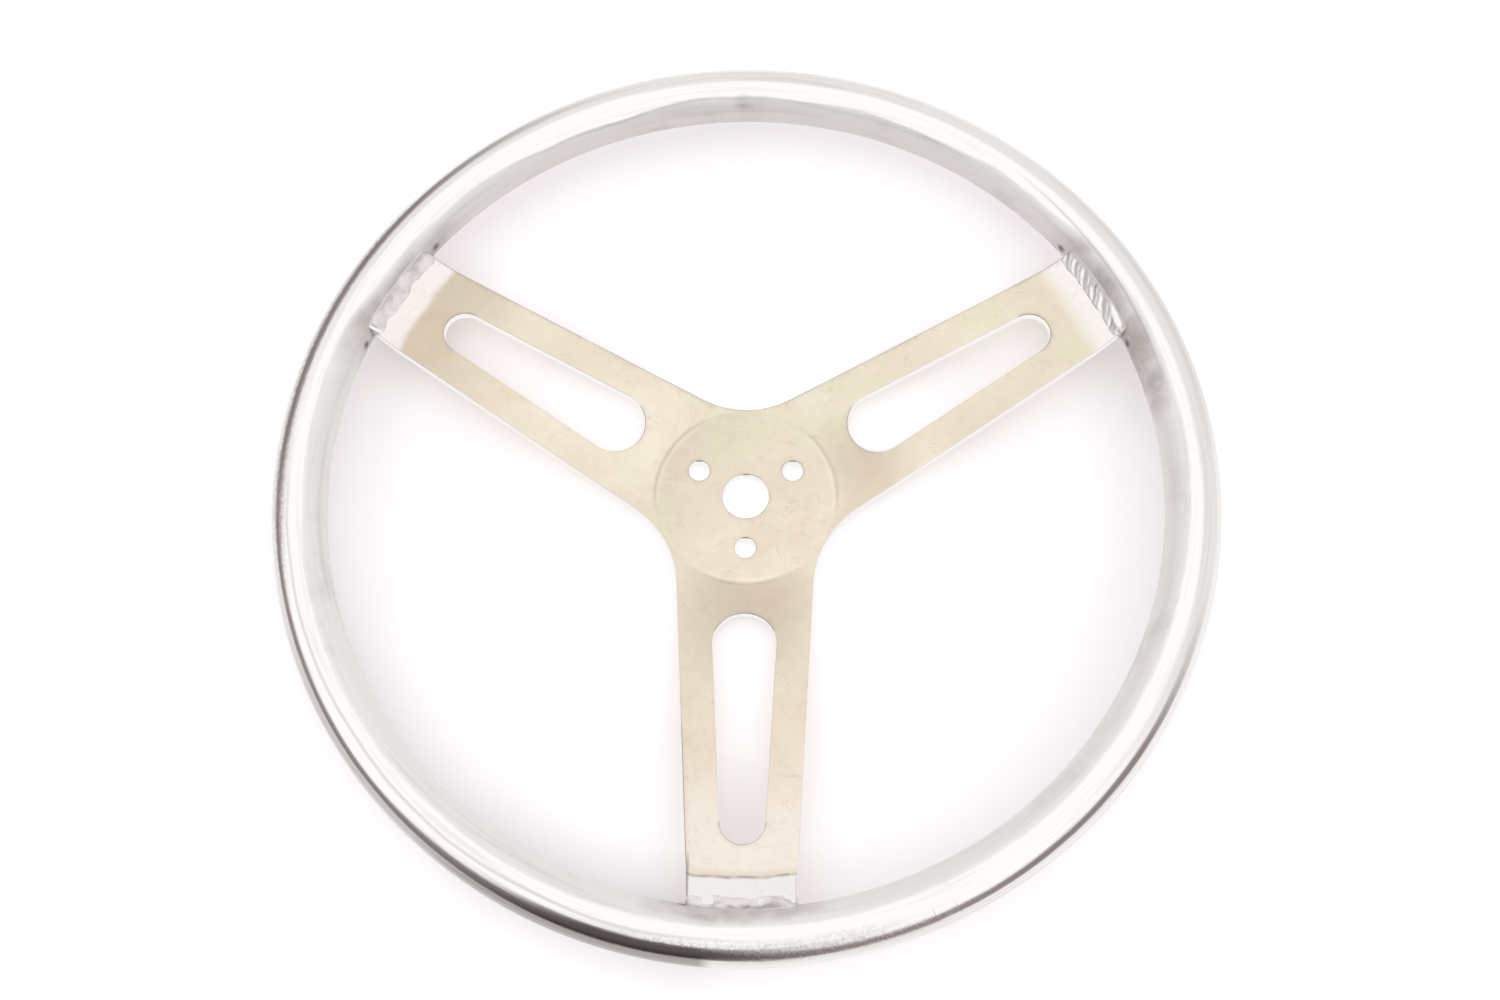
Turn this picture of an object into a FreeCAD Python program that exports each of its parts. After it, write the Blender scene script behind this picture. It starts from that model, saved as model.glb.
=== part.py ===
# Dished three-spoke steering wheel of bare welded aluminium: a ring of rolled tube round a slotted spoke plate.
# Millimetres, +Z up. The origin is the centre of the hub's flat back face, on the wheel's axis, and +Z points to
# the driver. The lower spoke points along -Y, and the other two stand 120 degrees from it.
import FreeCAD, Part
import math
import os

# Rim: one length of round tube, rolled to a ring
RIM_DIAMETER = 381.0
TUBE_DIAMETER = 22.225
TUBE_WALL = 3.175
RIM_HEIGHT = 19.05              # the rim's mid plane above the hub's back face

# Weld that closes the ring: a V groove, filled and dressed almost flush
SEAM_ANGLE = -66.0              # place round the rim, from +X
SEAM_ROOT_GAP = 1.5
SEAM_BEVEL = 30.0
SEAM_CROWN = 0.3
SEAM_PENETRATION = 0.5

# Spoke plate: one flat sheet with three spokes, pressed to a dish
SPOKES = 3
LOWER_SPOKE_ANGLE = -90.0
PLATE_THICKNESS = 4.76
HUB_FLAT_DIAMETER = 75.0
HUB_BEND_RADIUS = 2.0           # inside the crease round the hub
SPOKE_ROOT_WIDTH = 55.2         # across the spoke at the edge of the hub's flat
SPOKE_TIP_WIDTH = 40.8          # across the spoke at its end
WEB_MARGIN = 0.6                # metal left outside the crease at the deepest point of each hollow arc
TIP_BEND_RADIUS = 14.0
TIP_LENGTH = 12.5               # from the last bend to the spoke's end
TIP_ANGLE = 22.0                # slope of that last stretch
TIP_SEAT = 2.0                  # the middle of the spoke's end above the rim's mid plane
EDGE_BREAK = 0.5                # bevel that takes the sharpness off the cut edges

# Slot in each spoke, with its sides parallel to the spoke's own
RAIL_WIDTH = 13.4               # metal left on each side of the slot
SLOT_HUB_MARGIN = 12.9          # from the edge of the hub's flat to the slot
SLOT_TIP_MARGIN = 23.8          # from the slot to the spoke's end

# Hub holes
CENTRE_BORE = 19.05
BOLT_CIRCLE = 44.45
BOLT_HOLE = 8.7
HOLE_CHAMFER = 0.4

# Fillet welds between the spokes' ends and the rim
WELD_FIT_UP = 0.25              # gap left between the plate and the tube before welding
FRONT_TOE = 4.6                 # reach of the front weld over the plate
FRONT_TUBE_ANGLE = 41.0         # how far it climbs round the tube's section
BACK_TOE = 3.4
BACK_TUBE_ANGLE = 24.0
WELD_OVERHANG = 1.3             # past each side of the spoke
RIPPLE_PITCH = 6.2
RIPPLE_CREST = 1.1              # height of the weld's face over the line from toe to toe
RIPPLE_VALLEY = 0.45
WELD_ROOT = 0.15                # half the unfilled slit between the front and back welds

# Sizes that follow from those above
TUBE_RADIUS = TUBE_DIAMETER / 2
BORE_RADIUS = TUBE_RADIUS - TUBE_WALL
RING_RADIUS = RIM_DIAMETER / 2 - TUBE_RADIUS
HUB_RADIUS = HUB_FLAT_DIAMETER / 2
TIP_RADIUS = RING_RADIUS - TUBE_RADIUS - WELD_FIT_UP
TIP_BEND_PLACE = TIP_RADIUS - TIP_LENGTH
TIP_SLOPE = math.tan(math.radians(TIP_ANGLE))
TIP_MIDDLE = RIM_HEIGHT + TIP_SEAT
SPOKE_SLOPE = (TIP_MIDDLE - PLATE_THICKNESS / 2 - TIP_LENGTH * TIP_SLOPE) / (TIP_BEND_PLACE - HUB_RADIUS)
TAPER = math.atan((SPOKE_ROOT_WIDTH - SPOKE_TIP_WIDTH) / 2 / (TIP_RADIUS - HUB_RADIUS))
OVERSHOOT = 5.0                 # how far cutting shapes run past what they cut

UP = FreeCAD.Vector(0, 0, 1)
ORIGIN = FreeCAD.Vector(0, 0, 0)


def polar(radius, degrees, height=0.0):
    angle = math.radians(degrees)
    return FreeCAD.Vector(radius * math.cos(angle), radius * math.sin(angle), height)


def line(start, end):
    return Part.LineSegment(start, end).toShape()


def arc(start, middle, end):
    return Part.Arc(start, middle, end).toShape()


def spoke_angles():
    return [LOWER_SPOKE_ANGLE + 360.0 / SPOKES * k for k in range(SPOKES)]


# Rim

def rim_ring():
    centre = FreeCAD.Vector(0, 0, RIM_HEIGHT)
    outside = Part.makeTorus(RING_RADIUS, TUBE_RADIUS, centre, UP)
    inside = Part.makeTorus(RING_RADIUS, BORE_RADIUS, centre, UP)
    return outside, outside.cut(inside)


def rim_seam():
    """A ring of weld metal with a V section, turned round the tube's own axis at the seam."""
    widening = math.tan(math.radians(SEAM_BEVEL))
    root = BORE_RADIUS - SEAM_PENETRATION
    narrow = SEAM_ROOT_GAP / 2
    wide = narrow + (TUBE_RADIUS - root) * widening
    corners = [(-narrow, root), (narrow, root), (wide, TUBE_RADIUS)]
    low_left, low_right, top_right = [FreeCAD.Vector(across, 0, out) for across, out in corners]
    top_left = FreeCAD.Vector(-wide, 0, TUBE_RADIUS)
    crown = FreeCAD.Vector(0, 0, TUBE_RADIUS + SEAM_CROWN)
    edges = [line(low_left, low_right), line(low_right, top_right)]
    edges += [arc(top_right, crown, top_left), line(top_left, low_left)]
    weld = Part.Face(Part.Wire(edges)).revolve(ORIGIN, FreeCAD.Vector(1, 0, 0), 360)
    weld.rotate(ORIGIN, UP, SEAM_ANGLE + 90)
    weld.translate(polar(RING_RADIUS, SEAM_ANGLE, RIM_HEIGHT))
    return weld


# Spoke plate

def dish_path():
    """Corners of the plate's mid surface, from the axis outwards, as radius and height."""
    middle = PLATE_THICKNESS / 2
    bend_height = middle + (TIP_BEND_PLACE - HUB_RADIUS) * SPOKE_SLOPE
    reach = TIP_LENGTH + OVERSHOOT
    return [
        (0.0, middle),
        (HUB_RADIUS, middle),
        (TIP_BEND_PLACE, bend_height),
        (TIP_BEND_PLACE + reach, bend_height + reach * TIP_SLOPE),
    ]


def offset_side(path, bends, shift):
    """One face of the sheet: the path moved sideways by shift, with an arc round each bend's centre."""
    directions = [math.atan2(b[1] - a[1], b[0] - a[0]) for a, b in zip(path, path[1:])]
    normals = [(-math.sin(angle), math.cos(angle)) for angle in directions]
    first, last = path[0], path[-1]
    edges = []
    start = FreeCAD.Vector(first[0] + shift * normals[0][0], 0, first[1] + shift * normals[0][1])
    for place, radius, before, after in zip(path[1:-1], bends, directions, directions[1:]):
        middle_radius = radius + PLATE_THICKNESS / 2
        setback = middle_radius * math.tan((after - before) / 2)
        centre_x = place[0] - setback * math.cos(before) - middle_radius * math.sin(before)
        centre_z = place[1] - setback * math.sin(before) + middle_radius * math.cos(before)
        points = []
        for angle in (before, (before + after) / 2, after):
            out = middle_radius - shift
            points.append(FreeCAD.Vector(centre_x + out * math.sin(angle), 0, centre_z - out * math.cos(angle)))
        edges += [line(start, points[0]), arc(*points)]
        start = points[2]
    end = FreeCAD.Vector(last[0] + shift * normals[-1][0], 0, last[1] + shift * normals[-1][1])
    edges.append(line(start, end))
    return edges, end


def dish():
    """The pressed sheet, before its outline is cut: a profile turned round the wheel's axis."""
    path = dish_path()
    bends = (HUB_BEND_RADIUS, TIP_BEND_RADIUS)
    half = PLATE_THICKNESS / 2
    top, top_end = offset_side(path, bends, half)
    bottom, bottom_end = offset_side(path, bends, -half)
    closing = [line(top_end, bottom_end), line(ORIGIN, FreeCAD.Vector(0, 0, PLATE_THICKNESS))]
    wire = Part.Wire(Part.__sortEdges__(top + bottom + closing))
    return Part.Face(wire).revolve(ORIGIN, UP, 360)


def side_line():
    """Foot and direction of a spoke's left side, in the spoke's own frame with its axis along X."""
    foot = FreeCAD.Vector(HUB_RADIUS, SPOKE_ROOT_WIDTH / 2, 0)
    return foot, FreeCAD.Vector(math.cos(TAPER), -math.sin(TAPER), 0)


def web_arc():
    """Where the hollow arc beyond a spoke's left side starts and is deepest: it is tangent to both spokes' sides."""
    foot, along = side_line()
    outward = FreeCAD.Vector(-along.y, along.x, 0)
    bisector = polar(1.0, 180.0 / SPOKES)
    deepest = HUB_RADIUS + WEB_MARGIN
    lean = outward.dot(bisector)
    radius = (deepest * lean - outward.dot(foot)) / (1 - lean)
    centre = bisector * (deepest + radius)
    return centre - outward * radius, bisector * deepest


def tip_corner():
    foot, along = side_line()
    ahead = foot.dot(along)
    return foot + along * (math.sqrt(ahead ** 2 - foot.dot(foot) + TIP_RADIUS ** 2) - ahead)


def turned(point, degrees):
    return FreeCAD.Rotation(UP, degrees).multVec(point)


def mirrored(point):
    return FreeCAD.Vector(point.x, -point.y, point.z)


def outline():
    """The plate's outline: for each spoke a side, the end arc, the other side and the hollow arc to the next."""
    web_start, web_deepest = web_arc()
    corner = tip_corner()
    step = 360.0 / SPOKES
    edges = []
    for angle in spoke_angles():
        right_foot, right_tip = turned(mirrored(web_start), angle), turned(mirrored(corner), angle)
        left_foot, left_tip = turned(web_start, angle), turned(corner, angle)
        edges.append(line(right_foot, right_tip))
        edges.append(arc(right_tip, polar(TIP_RADIUS, angle), left_tip))
        edges.append(line(left_tip, left_foot))
        edges.append(arc(left_foot, turned(web_deepest, angle), turned(mirrored(web_start), angle + step)))
    return Part.Wire(edges)


def slot():
    """One slot's outline along X: two round ends joined by sides that run parallel to the spoke's sides."""
    spread = SPOKE_ROOT_WIDTH / 2 * math.cos(TAPER) + HUB_RADIUS * math.sin(TAPER) - RAIL_WIDTH
    inner = (HUB_RADIUS + SLOT_HUB_MARGIN + spread) / (1 + math.sin(TAPER))
    outer = (TIP_RADIUS - SLOT_TIP_MARGIN - spread) / (1 - math.sin(TAPER))
    ends = []
    for place, side in ((inner, -1), (outer, 1)):
        radius = spread - place * math.sin(TAPER)
        touch = FreeCAD.Vector(place + radius * math.sin(TAPER), radius * math.cos(TAPER), 0)
        ends.append((touch, FreeCAD.Vector(place + side * radius, 0, 0)))
    (inner_touch, inner_end), (outer_touch, outer_end) = ends
    edges = [arc(inner_touch, inner_end, mirrored(inner_touch)), line(mirrored(inner_touch), mirrored(outer_touch))]
    edges += [arc(mirrored(outer_touch), outer_end, outer_touch), line(outer_touch, inner_touch)]
    return Part.Wire(edges)


def prism(wire):
    """A wire in the XY plane as a solid that runs past both faces of the dish."""
    solid = Part.Face(wire).extrude(UP * (RIM_HEIGHT + 2 * TUBE_RADIUS + 2 * OVERSHOOT))
    solid.translate(UP * -OVERSHOOT)
    return solid


def chamfered_hole(diameter, centre):
    """A round hole through the hub with both mouths chamfered, as the solid that is taken away."""
    radius = diameter / 2
    mouth = radius + HOLE_CHAMFER
    steps = [
        (0.0, 0.0), (mouth, 0.0), (radius, HOLE_CHAMFER), (radius, PLATE_THICKNESS - HOLE_CHAMFER),
        (mouth, PLATE_THICKNESS), (0.0, PLATE_THICKNESS),
    ]
    points = [FreeCAD.Vector(out, 0, height) for out, height in steps]
    hole = Part.Face(Part.makePolygon(points + points[:1])).revolve(ORIGIN, UP, 360)
    hole.translate(centre)
    return hole


def cut_edges(plate):
    """The edges that the cutter left: those round the plate's upright walls, on both faces of the sheet."""
    found = []
    for face in plate.Faces:
        u_low, u_high, v_low, v_high = face.ParameterRange
        if abs(face.normalAt((u_low + u_high) / 2, (v_low + v_high) / 2).z) > 0.001:
            continue
        for edge in face.Edges:
            ends = [vertex.Point for vertex in edge.Vertexes]
            upright = len(ends) == 2 and (ends[0] - ends[1]).cross(UP).Length < 0.001
            if not upright:
                found.append(edge)
    return found


def spoke_plate():
    plate = dish().common(prism(outline()))
    for angle in spoke_angles():
        cutter = prism(slot())
        cutter.rotate(ORIGIN, UP, angle)
        plate = plate.cut(cutter)
    plate = plate.Solids[0].makeChamfer(EDGE_BREAK, cut_edges(plate.Solids[0]))
    plate = plate.cut(chamfered_hole(CENTRE_BORE, ORIGIN))
    for angle in spoke_angles():
        plate = plate.cut(chamfered_hole(BOLT_HOLE, polar(BOLT_CIRCLE / 2, angle)))
    return plate


# Fillet welds

def sheet_height(radius, side):
    """Height of the spoke's end at a radius past its last bend: side is 1 on the front and -1 on the back."""
    return TIP_MIDDLE - (TIP_RADIUS - radius) * TIP_SLOPE + side * PLATE_THICKNESS / 2 / math.cos(math.radians(TIP_ANGLE))


def weld_section(side, toe, tube_angle, crown, angle):
    """Closed section of a weld across its run: a crowned face from toe to toe, and a root inside both pieces."""
    climb = math.radians(tube_angle)
    toe_radius = TIP_RADIUS - toe
    tube_toe = (RING_RADIUS - TUBE_RADIUS * math.cos(climb), RIM_HEIGHT + side * TUBE_RADIUS * math.sin(climb))
    plate_toe = (toe_radius, sheet_height(toe_radius, side))
    along = (tube_toe[0] - plate_toe[0], tube_toe[1] - plate_toe[1])
    length = math.hypot(*along)
    crown_point = (
        (plate_toe[0] + tube_toe[0]) / 2 - side * crown * along[1] / length,
        (plate_toe[1] + tube_toe[1]) / 2 + side * crown * along[0] / length,
    )
    root_height = TIP_MIDDLE + side * WELD_ROOT
    root = [
        (tube_toe[0] + TUBE_WALL / 2, tube_toe[1] - side * TUBE_WALL / 2),
        (RING_RADIUS - TUBE_RADIUS + TUBE_WALL / 2, root_height),
        (TIP_RADIUS - TUBE_WALL / 4, root_height),
        (toe_radius + PLATE_THICKNESS / 8, plate_toe[1] - side * PLATE_THICKNESS / 8),
    ]
    face = [polar(radius, angle, height) for radius, height in (plate_toe, crown_point, tube_toe)]
    corners = [polar(radius, angle, height) for radius, height in root]
    loop = [face[2]] + corners + [face[0]]
    edges = [arc(*face)] + [line(a, b) for a, b in zip(loop, loop[1:])]
    return Part.Wire(edges)


def fillet_weld(side, toe, tube_angle, neighbours):
    """A run of overlapping puddles across the lower spoke's end, seated on the plate and on the tube."""
    half_run = math.degrees(math.asin(SPOKE_TIP_WIDTH / 2 / TIP_RADIUS) + WELD_OVERHANG / TIP_RADIUS)
    ripples = round(2 * math.radians(half_run) * TIP_RADIUS / RIPPLE_PITCH)
    sections = []
    for k in range(2 * ripples + 1):
        at_end = k in (0, 2 * ripples)
        crown = RIPPLE_CREST if k % 2 else RIPPLE_VALLEY
        reach = 0.75 if at_end else 1.0 if k % 2 else 0.93
        angle = LOWER_SPOKE_ANGLE - half_run + k * half_run / ripples
        sections.append(weld_section(side, toe * reach, tube_angle * reach, crown, angle))
    weld = Part.makeLoft(sections, True, True)
    for neighbour in neighbours:
        weld = weld.cut(neighbour)
    return weld


def main():
    os.makedirs("parts", exist_ok=True)
    tube_outside, ring = rim_ring()
    seam = rim_seam()
    plate = spoke_plate()
    nodes = {"rim_tube": ring.cut(seam), "rim_seam_weld": seam, "spoke_plate": plate}
    welds = {
        "weld_front_": fillet_weld(1, FRONT_TOE, FRONT_TUBE_ANGLE, (plate, tube_outside)),
        "weld_back_": fillet_weld(-1, BACK_TOE, BACK_TUBE_ANGLE, (plate, tube_outside)),
    }
    for angle, name in zip(spoke_angles(), ("lower", "right", "left")):
        for face, weld in welds.items():
            nodes[face + name] = weld.copy()
            nodes[face + name].rotate(ORIGIN, UP, angle - LOWER_SPOKE_ANGLE)
    for name, shape in nodes.items():
        box = shape.BoundBox
        print(name, len(shape.Solids), shape.isValid(), round(shape.Volume, 1), box)
        shape.exportStep("parts/%s.step" % name)


main()
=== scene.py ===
import functools
import math

import bpy
import numpy as np
from mathutils import Matrix, Vector
from mathutils.geometry import delaunay_2d_cdt


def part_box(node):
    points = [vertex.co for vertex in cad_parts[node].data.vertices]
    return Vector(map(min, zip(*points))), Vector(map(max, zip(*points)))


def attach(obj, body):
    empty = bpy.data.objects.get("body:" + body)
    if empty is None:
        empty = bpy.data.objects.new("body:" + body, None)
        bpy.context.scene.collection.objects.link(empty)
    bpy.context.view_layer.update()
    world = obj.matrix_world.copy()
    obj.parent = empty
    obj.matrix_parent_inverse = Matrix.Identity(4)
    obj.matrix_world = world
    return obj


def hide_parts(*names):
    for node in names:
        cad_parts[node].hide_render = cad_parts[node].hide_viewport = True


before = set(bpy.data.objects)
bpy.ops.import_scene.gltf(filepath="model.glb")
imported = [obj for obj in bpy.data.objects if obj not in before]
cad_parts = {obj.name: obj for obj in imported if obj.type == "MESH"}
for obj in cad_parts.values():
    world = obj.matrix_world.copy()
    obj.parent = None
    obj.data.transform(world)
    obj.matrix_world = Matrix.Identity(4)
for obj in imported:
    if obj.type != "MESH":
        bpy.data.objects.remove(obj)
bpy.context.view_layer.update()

# Rim tube. One length of round aluminium tube, rolled to a ring. The side the driver holds was buffed along the
# tube till it shines, but the buff never reached the side that faces the wheel's middle, which stayed satin and
# grey. Welding left a dull bloom beside each spoke, and the butt joint was sanded by hand. Painted shade darkens
# the outer side at the lower left and by the right spoke, and the corners where the spokes meet the rim.
rim_low, rim_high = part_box("rim_tube")
TUBE_RADIUS = (rim_high[2] - rim_low[2]) / 2
RING_RADIUS = rim_high[0] - TUBE_RADIUS
RIM_HEIGHT = (rim_high[2] + rim_low[2]) / 2
SEAM_ANGLE = -66.0
SPOKE_ANGLES = (-90.0, 30.0, 150.0)
BUFFED_METAL = (0.945, 0.930, 0.910, 1.0)
SATIN_METAL = (0.93, 0.905, 0.89, 1.0)
WELD_BLOOM = (0.47, 0.42, 0.405, 1.0)
BROWN_GRAIN = (0.44, 0.37, 0.35, 1.0)


def skin(name, rows, wrap_rows, attributes, ends=False, normals=None):
    """A mesh from a grid of points. It closes round each row, and along the rows if asked, or gets a flat end cap."""
    count, around = len(rows), len(rows[0])
    points = [tuple(p) for row in rows for p in row]
    faces = []
    for i in range(count if wrap_rows else count - 1):
        a, b = i * around, (i + 1) % count * around
        faces += [(a + j, b + j, b + (j + 1) % around, a + (j + 1) % around) for j in range(around)]
    if ends:
        faces.append(tuple(range(around)))
        faces.append(tuple((count - 1) * around + j for j in reversed(range(around))))
    mesh = bpy.data.meshes.new(name)
    mesh.from_pydata(points, [], faces)
    mesh.polygons.foreach_set("use_smooth", [True] * len(mesh.polygons))
    for label, values in attributes.items():
        values = np.asarray(values, dtype=float)
        kind = "FLOAT_VECTOR" if values.ndim == 3 else "FLOAT"
        layer = mesh.attributes.new(label, kind, "POINT")
        layer.data.foreach_set("vector" if kind == "FLOAT_VECTOR" else "value", values.ravel())
    if normals is not None:
        mesh.normals_split_custom_set_from_vertices([tuple(n) for row in normals for n in row])
    made = bpy.data.objects.new(name, mesh)
    bpy.context.scene.collection.objects.link(made)
    return made


def tube_points(turns, sections, radius):
    """Points on a round tube about the rim's centre line: a row of section angles for each angle round the ring."""
    turn, section = np.meshgrid(np.radians(turns), np.radians(sections), indexing="ij")
    out = RING_RADIUS + radius * np.cos(section)
    return np.stack([out * np.cos(turn), out * np.sin(turn), RIM_HEIGHT + radius * np.sin(section)], axis=-1)


def add(tree, kind, settings=None, inputs=None):
    """A node with its settings made and its inputs set, or linked where the value is another node's socket."""
    made = tree.nodes.new(kind)
    for key, value in (settings or {}).items():
        setattr(made, key, value)
    for key, value in (inputs or {}).items():
        if isinstance(value, bpy.types.NodeSocket):
            tree.links.new(value, made.inputs[key])
        else:
            made.inputs[key].default_value = value
    return made


def tree_of(values):
    """The node tree that the sockets among the values lie in."""
    return next(value.id_data for value in values if isinstance(value, bpy.types.NodeSocket))


def calc(operation, *values):
    """One step of arithmetic on numbers or sockets."""
    return add(tree_of(values), "ShaderNodeMath", {"operation": operation}, dict(enumerate(values))).outputs[0]


def vector_calc(operation, *values):
    """One step of arithmetic on vectors: its outputs, where 0 is a vector and "Value" a number."""
    return add(tree_of(values), "ShaderNodeVectorMath", {"operation": operation}, dict(enumerate(values))).outputs


def chain(operation, first, *others):
    """The same step of arithmetic all along a row of numbers or sockets."""
    for other in others:
        first = calc(operation, first, other)
    return first


times, plus, most = (functools.partial(chain, operation) for operation in ("MULTIPLY", "ADD", "MAXIMUM"))


def fade(value, start, end, low=0.0, high=1.0):
    """Goes smoothly from low to high as value goes from start to end."""
    made = add(value.id_data, "ShaderNodeMapRange", {"interpolation_type": "SMOOTHSTEP"},
               {"Value": value, "From Min": start, "From Max": end, "To Min": low, "To Max": high})
    return made.outputs["Result"]


def line_at(value, at, outer, inner):
    """1 along the line where value is at: it fades in from outer to inner on both sides."""
    return fade(calc("ABSOLUTE", calc("SUBTRACT", value, at)), outer, inner)


def blend(amount, first, second):
    """One colour laid over another."""
    return add(tree_of((amount, first, second)), "ShaderNodeMix", {"data_type": "RGBA"},
               {0: amount, 6: first, 7: second}).outputs[2]


def layers(colour, *rows):
    """Colours laid over one another, each with its mask and its strength."""
    for mask, strength, tint in rows:
        colour = blend(times(mask, strength), colour, tint)
    return colour


def speckle(vector, scale, detail=3.0, rough=0.55):
    """Plain noise between 0 and 1."""
    return add(vector.id_data, "ShaderNodeTexNoise", {},
               {"Vector": vector, "Scale": scale, "Detail": detail, "Roughness": rough}).outputs[0]


def mapped(vector, **changes):
    """Coordinates that are moved or scaled."""
    return add(vector.id_data, "ShaderNodeMapping", {}, {"Vector": vector, **changes}).outputs[0]


def turned_by(vector, degrees):
    """Coordinates that are turned about Z."""
    return add(vector.id_data, "ShaderNodeVectorRotate", {"rotation_type": "Z_AXIS"},
               {"Vector": vector, "Angle": math.radians(degrees)}).outputs[0]


def spread(vector, centre, radius, soft):
    """1 near a place and 0 beyond a radius from it."""
    return fade(vector_calc("DISTANCE", vector, centre)["Value"], radius + soft, radius - soft)


def about_axis(place):
    """A place's X, Y and Z, the place laid flat, and its distance and direction from the wheel's axis."""
    parts = add(place.id_data, "ShaderNodeSeparateXYZ", {}, {0: place}).outputs
    flat = add(place.id_data, "ShaderNodeCombineXYZ", {}, {0: parts[0], 1: parts[1]}).outputs[0]
    return parts, flat, vector_calc("LENGTH", flat)["Value"], vector_calc("NORMALIZE", flat)[0]


def near_turn(turn, degrees, wide, soft):
    """1 within so many degrees of a direction from the wheel's axis."""
    there = (math.cos(math.radians(degrees)), math.sin(math.radians(degrees)), 0.0)
    facing = vector_calc("DOT_PRODUCT", turn, there)["Value"]
    return fade(facing, math.cos(math.radians(wide + soft)), math.cos(math.radians(max(wide - soft, 0.0))))


def metal(name):
    """A new material with its Principled shader, its tree and the object's own coordinates."""
    made = bpy.data.materials.new(name)
    made.use_nodes = True
    tree = made.node_tree
    return made, tree, tree.nodes["Principled BSDF"], add(tree, "ShaderNodeTexCoord").outputs["Object"]


def complete(shader, colour, rough, metallic, height, strength, distance):
    """Links a material's colour, roughness, metal share and bumps to its shader."""
    tree = shader.id_data
    bump = add(tree, "ShaderNodeBump", {}, {"Strength": strength, "Distance": distance, "Height": height}).outputs[0]
    for label, value in (("Base Color", colour), ("Roughness", rough), ("Metallic", metallic), ("Normal", bump)):
        tree.links.new(value, shader.inputs[label])


def effect(name, inputs, outputs):
    """An empty shader node group with named inputs and outputs."""
    tree = bpy.data.node_groups.new(name, "ShaderNodeTree")
    for label, kind, value in inputs:
        socket = tree.interface.new_socket(label, in_out="INPUT", socket_type=kind)
        if value is not None:
            socket.default_value = value
    for label, kind in outputs:
        tree.interface.new_socket(label, in_out="OUTPUT", socket_type=kind)
    return tree, tree.nodes.new("NodeGroupInput").outputs, tree.nodes.new("NodeGroupOutput").inputs


def use(tree, group, **inputs):
    """A node group placed in a material; underscores stand for the spaces in its input names."""
    inputs = {label.replace("_", " "): value for label, value in inputs.items()}
    return add(tree, "ShaderNodeGroup", {"node_tree": group}, inputs).outputs


# Where a point lies on the rim: how far it faces outwards and up, and streaks that run along the ring without a join
rim_place, given, result = effect(
    "place on the rim",
    [("Place", "NodeSocketVector", None), ("Streak length", "NodeSocketFloat", 6.0),
     ("Fineness", "NodeSocketFloat", 900.0)],
    [("Outward", "NodeSocketFloat"), ("Up", "NodeSocketFloat"), ("Streaks", "NodeSocketFloat"),
     ("Turn", "NodeSocketVector")],
)
parts, _, reach, turn = about_axis(given["Place"])
across = calc("SUBTRACT", reach, RING_RADIUS)
above = calc("SUBTRACT", parts[2], RIM_HEIGHT)
turned = add(rim_place, "ShaderNodeSeparateXYZ", {}, {0: turn}).outputs
fine = given["Fineness"]
grain_place = add(rim_place, "ShaderNodeCombineXYZ", {}, {
    0: times(across, fine), 1: times(above, fine),
    2: times(turned[0], given["Streak length"])}).outputs[0]
streaks = add(rim_place, "ShaderNodeTexNoise", {"noise_dimensions": "4D"},
              {"Vector": grain_place, "W": times(turned[1], given["Streak length"]),
               "Scale": 1.0, "Detail": 3.0, "Roughness": 0.6}).outputs[0]
for label, value in (("Outward", calc("DIVIDE", across, TUBE_RADIUS)), ("Up", calc("DIVIDE", above, TUBE_RADIUS)),
                     ("Streaks", streaks), ("Turn", turn)):
    rim_place.links.new(value, result[label])


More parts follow.
